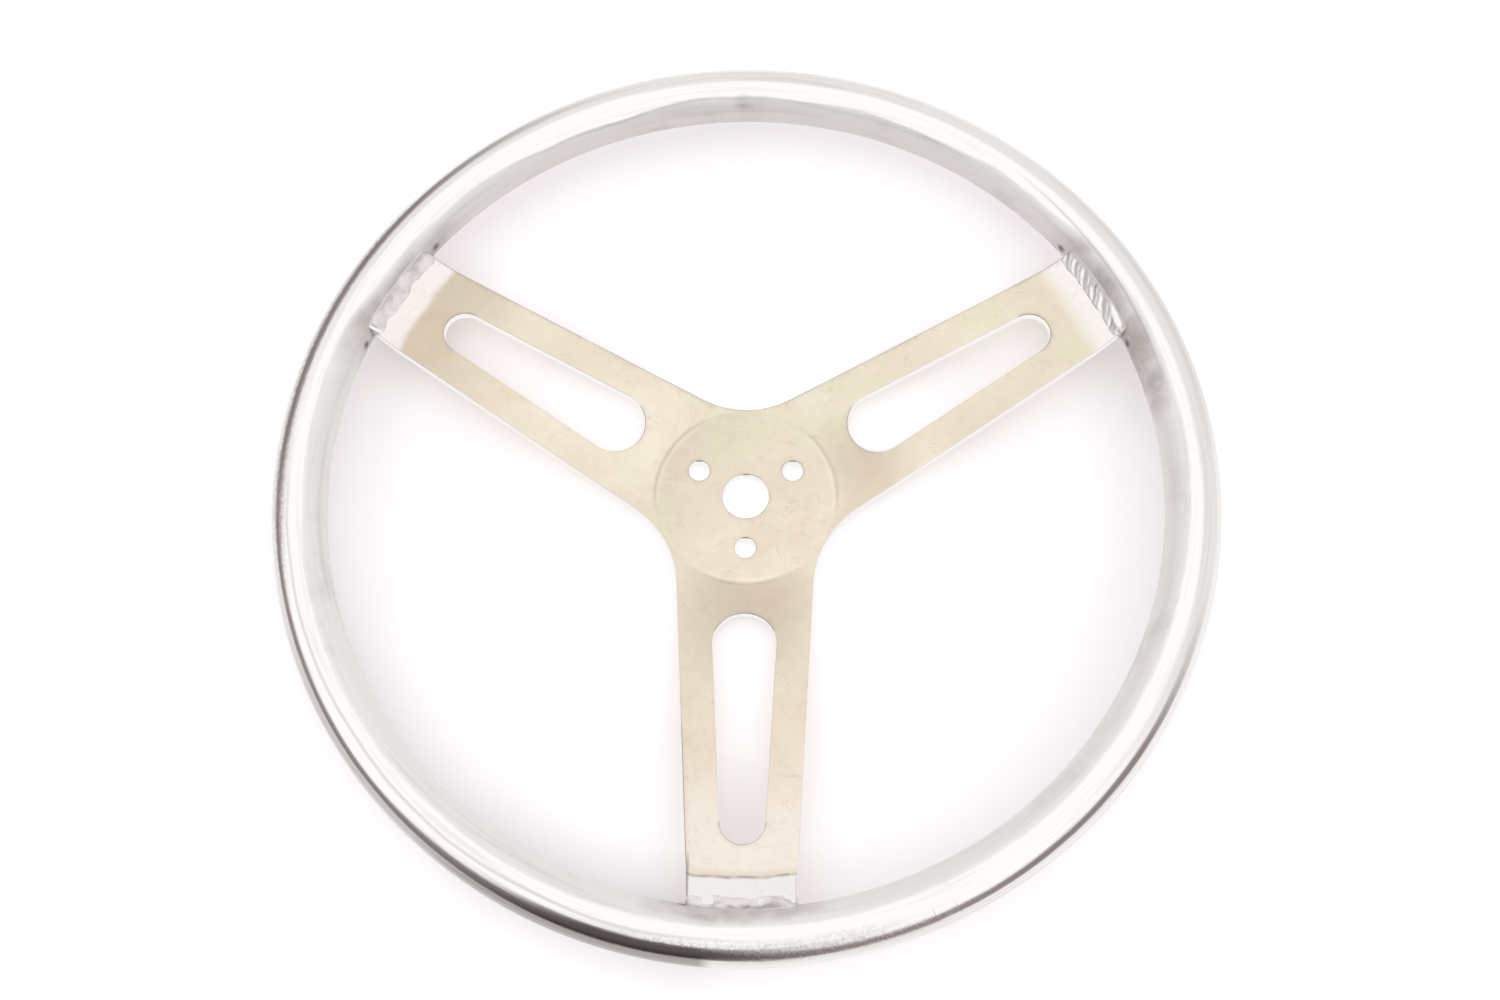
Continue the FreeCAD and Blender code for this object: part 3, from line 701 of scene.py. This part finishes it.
side = stored("side")
here = add(bead_tree, "GeometryNodeInputPosition").outputs[0]
stir, lump = (add(bead_tree, "ShaderNodeTexNoise", {"noise_dimensions": "4D"},
                  {"Vector": here, "W": given["Seed"], "Scale": scale, "Detail": detail}).outputs[0]
              for scale, detail in ((95.0, 1.0), (given["Lump fineness"], 1.5)))
phase = plus(times(stored("run"), given["Puddles"]), times(side, side, given["Crescent"]),
             times(side, given["Slant"]), times(stir, 1.3))
part = calc("FRACT", phase)
arch = calc("MINIMUM", calc("POWER", part, 0.8), times(calc("SUBTRACT", 1.0, part), 3.0))
fine_arch = times(calc("PINGPONG", times(phase, 2.0), 0.5), 0.30)
rise = plus(times(arch, given["Puddle height"]), times(calc("SUBTRACT", lump, 0.42), given["Lumps"]),
            times(fine_arch, given["Puddle height"]))
rise = times(rise, calc("SUBTRACT", 1.0, times(stored("crater"), 0.85)), stored("fade"))
move = add(bead_tree, "ShaderNodeVectorMath", {"operation": "SCALE"},
           {0: stored("out", "FLOAT_VECTOR"), "Scale": rise}).outputs[0]
whole = given["Geometry"]
for kind, settings, inputs in (
    ("SetPosition", {}, {"Offset": move}),
    ("StoreNamedAttribute", {"data_type": "FLOAT", "domain": "POINT"}, {"Name": "puddle", "Value": phase}),
    ("RealizeInstances", {}, {}),
    ("SetMaterial", {}, {"Material": given["Finish"]}),
):
    whole = add(bead_tree, "GeometryNode" + kind, settings, {"Geometry": whole, **inputs}).outputs[0]
bead_tree.links.new(whole, result["Geometry"])


def weld_finish(name, grey, ripple, blotches, tube_toe_highlight):
    """Bare weld metal, grey beside the tube, with painted bright and dark crescents on the plate's side."""
    made, tree, shader, place = metal(name)
    side, puddle, crater, shadow = (add(tree, "ShaderNodeAttribute", {"attribute_name": label}).outputs["Fac"]
                                    for label in ("side", "puddle", "crater", "shadow"))
    wander = speckle(place, 260.0, 4.0, 0.6)
    part = calc("FRACT", puddle)
    plate_side = fade(side, 0.35, -0.25)
    # painted highlights and painted shade on the puddles' crescents, a painted shade line at the plate's toe and a
    # painted highlight line at the tube's toe
    first = times(fade(part, 0.03, 0.12), fade(part, 0.44, 0.26))
    second = times(fade(part, 0.54, 0.60), fade(part, 0.74, 0.66), 0.6)
    bright = times(most(first, second), plate_side, fade(wander, 0.34, 0.50))
    dark = most(fade(part, 0.84, 0.97), times(line_at(part, 0.50, 0.06, 0.02), 0.6))
    dark = times(dark, plate_side, fade(wander, 0.62, 0.46))
    toe = times(line_at(side, -0.94, 0.07, 0.02), fade(wander, 0.42, 0.58))
    clouds = fade(plus(speckle(place, 120.0, 2.0), times(side, 0.14)), 0.42, 0.62)
    beside_tube = fade(side, 0.25, 0.85)
    tube_toe = times(line_at(side, 0.80, 0.14, 0.05), fade(wander, 0.40, 0.55))
    tube_side = tuple(0.55 * satin + 0.45 * bloom for satin, bloom in zip(SATIN_METAL, WELD_BLOOM))
    colour = layers(
        blend(times(clouds, blotches), grey, (0.50, 0.465, 0.465, 1.0)),
        (bright, ripple, (0.98, 0.96, 0.945, 1.0)),
        (dark, 0.52 * ripple, (0.34, 0.30, 0.29, 1.0)),
        (toe, 0.50 * ripple, (0.30, 0.26, 0.25, 1.0)),
        (beside_tube, 0.8, tube_side),
        (tube_toe, tube_toe_highlight, (0.98, 0.96, 0.95, 1.0)),
        # the crater's white is a painted highlight, and its shadow painted shade
        (crater, 0.92, (1.0, 0.985, 0.97, 1.0)),
        (shadow, 0.55, (0.36, 0.32, 0.32, 1.0)),
    )
    rough = plus(fade(wander, 0.3, 0.7, 0.26, 0.40), times(beside_tube, 0.2))
    metallic = calc("SUBTRACT", 0.8, times(beside_tube, 0.4))
    complete(shader, colour, rough, metallic, speckle(place, 1500.0, 2.0), 0.12, 0.0001)
    return made


def bead_corner(plate_toe, tube_toe, angle, side, full):
    """Where the plate's face and the tube's side would meet, slid along the tube's side to fill the fillet."""
    height, slope = sheet_face(np.array(plate_toe[0]), side)
    along_plate = np.array((1.0, float(slope)))
    along_tube = np.array((-math.sin(angle), -side * math.cos(angle)))
    reach = np.linalg.solve(np.column_stack([along_plate, -along_tube]), tube_toe - plate_toe)
    corner = plate_toe + along_plate * reach[0]
    return corner + (tube_toe - corner) * full


def weld_run(name, degrees, side, toe, climb, full, ragged, puddles, height, crescent, slant, lumps, fineness, seed,
             crater, finish):
    """One run of weld across a spoke's end: a closed fillet from the plate to the tube, then its puddles."""
    half = math.asin(TIP_WIDTH / 2 / TIP_RADIUS) + 0.5 / TIP_RADIUS
    along = np.linspace(-1.0, 1.0, 231)
    over = np.linspace(-1.0, 1.0, 31)
    tube, ring, rim_height = TUBE_RADIUS * 1000, RING_RADIUS * 1000, RIM_HEIGHT * 1000
    rows = []
    stores = {"run": [], "side": [], "out": [], "fade": [], "crater": [], "shadow": []}
    for step in along:
        end = (1.0 - abs(step) ** 24.0) ** 0.5 if abs(step) < 1 else 0.0
        wave = sum(math.sin(step * pace + shift * seed) * share
                   for pace, shift, share in ((6.1, 1.0, 0.55), (13.7, 2.1, 0.35), (21.0, 3.3, 0.1)))
        reach = toe * (0.25 + 0.75 * end) * (1.0 + ragged * wave)
        angle = math.radians(climb * (0.4 + 0.6 * end) * (1.0 - 0.04 * wave))
        plate_toe = np.array((TIP_RADIUS - reach, float(sheet_face(np.array(TIP_RADIUS - reach), side)[0])))
        tube_toe = np.array((ring - tube * math.cos(angle), rim_height + side * tube * math.sin(angle)))
        middle = bead_corner(plate_toe, tube_toe, angle, side, full)
        chord = tube_toe - plate_toe
        normal = side * np.array((-chord[1], chord[0])) / np.linalg.norm(chord)
        parts = [(t + 1) / 2 for t in over]
        # past each toe the bead dips just under the metal, so its edge shows no line
        sink, beyond = 0.12, plate_toe[0] - 0.5
        start = np.array((beyond, float(sheet_face(np.array(beyond), side)[0]) - side * sink))
        last = angle + math.radians(4.0)
        stop = np.array((ring - (tube - sink) * math.cos(last), rim_height + side * (tube - sink) * math.sin(last)))
        face = [plate_toe * (1 - t) ** 2 + 2 * middle * t * (1 - t) + tube_toe * t * t for t in parts]
        # the closed back of the bead lies within the tube and the sheet
        root = TIP_HEIGHT + side * 0.15
        section = [start, *face, stop, stop + (0.9, -0.9 * side), (ring - tube + 0.8, root), (TIP_RADIUS - 0.6, root),
                   start + (0.5, -0.5 * side)]
        turn = math.radians(degrees) + step * half
        places = [(r * math.cos(turn) / 1000, r * math.sin(turn) / 1000, z / 1000) for r, z in section]
        raised = [end * max(0.0, 1 - t * t) ** 0.6 * min(1.0, 1.15 - 0.75 * max(0.0, t)) for t in over]
        row = {"run": [(step + 1) / 2] * len(section), "side": [-1.0, *over, 1.0, 1.0, 1.0, -1.0, -1.0],
               "out": [(normal[0] * math.cos(turn), normal[0] * math.sin(turn), normal[1])] * len(section),
               "fade": [0.0, *raised] + [0.0] * 5}
        spots = []
        for shift in (0, 1):
            step_at, side_at, long, wide, lean, step_off, side_off = crater
            away = [math.hypot((step - step_at - shift * step_off) / long,
                               (t - side_at - shift * side_off - lean * (step - step_at)) / wide) for t in row["side"]]
            spots.append([float(np.clip((1.25 - d) / 0.5, 0.0, 1.0)) for d in away])
        row["crater"], row["shadow"] = spots[0], [max(0.0, b - a) for a, b in zip(*spots)]
        rows.append(places[::-1] if side > 0 else places)
        for label, values in row.items():
            stores[label].append(values[::-1] if side > 0 else values)
    bead = skin(name, rows, False, stores, ends=True)
    worker = bead.modifiers.new("weld puddles", "NODES")
    worker.node_group = bead_tree
    for label, value in (("Puddles", puddles), ("Puddle height", height / 1000), ("Crescent", crescent),
                         ("Slant", slant), ("Lumps", lumps / 1000), ("Lump fineness", fineness),
                         ("Seed", float(seed)), ("Finish", finish)):
        worker[bead_sockets[label]] = value
    bpy.context.view_layer.update()
    done = bpy.data.meshes.new_from_object(bead.evaluated_get(bpy.context.evaluated_depsgraph_get()))
    bead.modifiers.remove(worker)
    bead.data = done
    done.polygons.foreach_set("use_smooth", [True] * len(done.polygons))
    return bead


bright_weld = weld_finish("bright weld", (0.62, 0.59, 0.585, 1.0), 1.0, 0.3, 0.0)
grey_weld = weld_finish("grey weld", (0.80, 0.755, 0.74, 1.0), 0.25, 0.7, 1.0)
lumpy_weld = weld_finish("lumpy weld", (0.90, 0.86, 0.855, 1.0), 0.10, 0.95, 0.0)
# a crater's place along and across the run, its length, width and lean, and how far its shadow is moved
no_crater = (0.0, 9.0, 0.1, 0.1, 0.0, 0.0, 0.0)
long_crater = (-0.66, 0.12, 0.27, 0.42, 0.9, -0.02, -0.30)
end_crater = (0.93, -0.1, 0.035, 0.95, 0.0, 0.05, 0.0)
# each run's spoke and face; its reach, climb, fill and raggedness; its puddles' number, height in mm, crescent and
# slant; its lumps' height in mm and fineness; its seed
back_run = (3.4, 24.0, 0.60, 0.06, 8.0, 0.36, 0.9, 0.2, 0.3, 200.0)
for node, *run in (
    ("weld_front_lower", -90.0, 1, 3.2, 32.0, 0.15, 0.24, 3.0, 0.10, 0.4, 0.5, 4.0, 120.0, 4, no_crater, lumpy_weld),
    ("weld_front_right", 30.0, 1, 4.3, 32.0, 0.12, 0.08, 6.0, 0.46, 0.5, -0.35, 0.40, 160.0, 2, long_crater,
     bright_weld),
    ("weld_front_left", 150.0, 1, 4.2, 32.0, 0.12, 0.22, 4.0, 0.16, 0.5, 0.8, 2.0, 115.0, 7, end_crater, grey_weld),
    ("weld_back_lower", -90.0, -1, *back_run, 3, no_crater, grey_weld),
    ("weld_back_right", 30.0, -1, *back_run, 5, no_crater, grey_weld),
    ("weld_back_left", 150.0, -1, *back_run, 8, no_crater, grey_weld),
):
    bead = weld_run(node + "_run", *run)
    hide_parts(node)
    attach(bead, "root")

# Floor. A plain pale sheet that the wheel lies on. It is white beside the wheel and keeps its soft shadow inside
# the rim. Its far part isn't mirrored by the metal, which sees the studio's dark surround there instead.
floor_paint = bpy.data.materials.new("pale floor")
floor_paint.use_nodes = True
tree = floor_paint.node_tree
shader = tree.nodes["Principled BSDF"]
shader.inputs["Base Color"].default_value = (0.94, 0.905, 0.93, 1.0)
shader.inputs["Roughness"].default_value = 0.9
shader.inputs["Specular IOR Level"].default_value = 0.0
spot = add(tree, "ShaderNodeTexCoord").outputs["Object"]
_, _, from_middle, toward = about_axis(spot)
rays = add(tree, "ShaderNodeLightPath").outputs
# painted light that only the camera sees on the shaded floor, ring by ring, and three places painted lighter or
# darker, the darker one a painted shadow under the lower slot's end
lift = plus(fade(from_middle, 0.110, 0.060, 0.205, 0.245), fade(from_middle, 0.140, 0.158, 0.0, -0.045),
            fade(from_middle, 0.172, 0.190, 0.0, 0.14), fade(from_middle, 0.040, 0.033, 0.0, 0.10),
            times(near_turn(toward, 88.0, 45.0, 22.0), fade(from_middle, 0.112, 0.136, 0.0, 0.075)),
            times(near_turn(toward, -130.0, 28.0, 12.0), fade(from_middle, 0.132, 0.150, 0.0, 0.035)),
            times(spread(spot, (0.0, -0.128, 0.0), 0.016, 0.014), -0.11))
tree.links.new(times(rays["Is Camera Ray"], lift), shader.inputs["Emission Color"])
shader.inputs["Emission Strength"].default_value = 1.0
# the floor glows in the metal's reflections: painted light
glossy_painted_glow = add(tree, "ShaderNodeEmission", {}, {"Color": (1.0, 1.0, 1.0, 1.0), "Strength": 0.97}).outputs[0]
mixed = add(tree, "ShaderNodeMixShader", {},
            {0: times(rays["Is Glossy Ray"], 0.9), 1: shader.outputs[0], 2: glossy_painted_glow}).outputs[0]
tree.links.new(mixed, tree.nodes["Material Output"].inputs["Surface"])
around = 96
for name, radius, height, mirrored in (("floor_near", 0.30, 0.0, True), ("floor_far", 6.0, -0.0002, False)):
    angles = np.linspace(0, 2 * math.pi, around + 1)[:-1]
    rim_points = [(radius * math.cos(a), radius * math.sin(a), height) for a in angles]
    mesh = bpy.data.meshes.new(name)
    mesh.from_pydata(rim_points, [], [tuple(range(around))])
    mesh.materials.append(floor_paint)
    floor = bpy.data.objects.new(name, mesh)
    bpy.context.scene.collection.objects.link(floor)
    floor.visible_glossy = mirrored

# Studio light. A white tent, brightest overhead and a shade greyer low down at the back and the right. Low on the
# other sides is a dark gap, which the polished tube mirrors as a dark line, and someone dark stands in front of
# it. The camera itself sees plain white.
world = bpy.data.worlds.new("white tent")
bpy.context.scene.world = world
world.use_nodes = True
tree = world.node_tree
ray = add(tree, "ShaderNodeTexCoord").outputs["Generated"]
parts, _, _, flat = about_axis(ray)
level = times(calc("ARCSINE", parts[2]), 180 / math.pi)


def within(degrees, wide, soft):
    """1 where the light comes from within so many degrees of a side."""
    return near_turn(flat, degrees, wide, soft)


low_sky = times(fade(level, 60.0, 46.0), within(62.0, 78.0, 14.0))
top = calc("SUBTRACT", 24.0, plus(times(within(-172.0, 22.0, 16.0), 11.0), times(within(-48.0, 36.0, 16.0), 5.0)))
gap = times(fade(calc("SUBTRACT", level, top), 7.0, -5.0), fade(level, -13.0, -6.0),
            calc("SUBTRACT", 1.0, within(53.0, 60.0, 14.0)))
figure = times(within(-107.0, 19.0, 12.0), fade(level, 46.0, 34.0), fade(level, -22.0, -8.0))
colour = blend(low_sky, (1.06, 1.055, 1.05, 1.0), (0.85, 0.84, 0.83, 1.0))
colour = blend(gap, colour, (0.27, 0.23, 0.225, 1.0))
colour = blend(figure, colour, (0.10, 0.082, 0.078, 1.0))
colour = blend(add(tree, "ShaderNodeLightPath").outputs["Is Camera Ray"], colour, (1.0, 1.0, 1.0, 1.0))
tree.links.new(colour, tree.nodes["Background"].inputs["Color"])

# Camera. It stands where the photograph was taken from, above the wheel and towards its lower spoke, as fitted to
# the rim's ellipse, the holes of the hub and the spokes.
view = bpy.data.cameras.new("camera")
view.sensor_width = 36.0
view.lens = 45.6
camera = bpy.data.objects.new("camera", view)
right, up, behind = (0.9999, 0.00738, -0.01231), (-0.00286, 0.94286, 0.33317), (0.01407, -0.3331, 0.94279)
eye = (0.01272, -0.2609, 0.73841)
camera.matrix_world = Matrix((*zip(right, up, behind, eye), (0.0, 0.0, 0.0, 1.0)))
bpy.context.scene.collection.objects.link(camera)
bpy.context.scene.camera = camera
bpy.context.scene.view_settings.view_transform = "Standard"
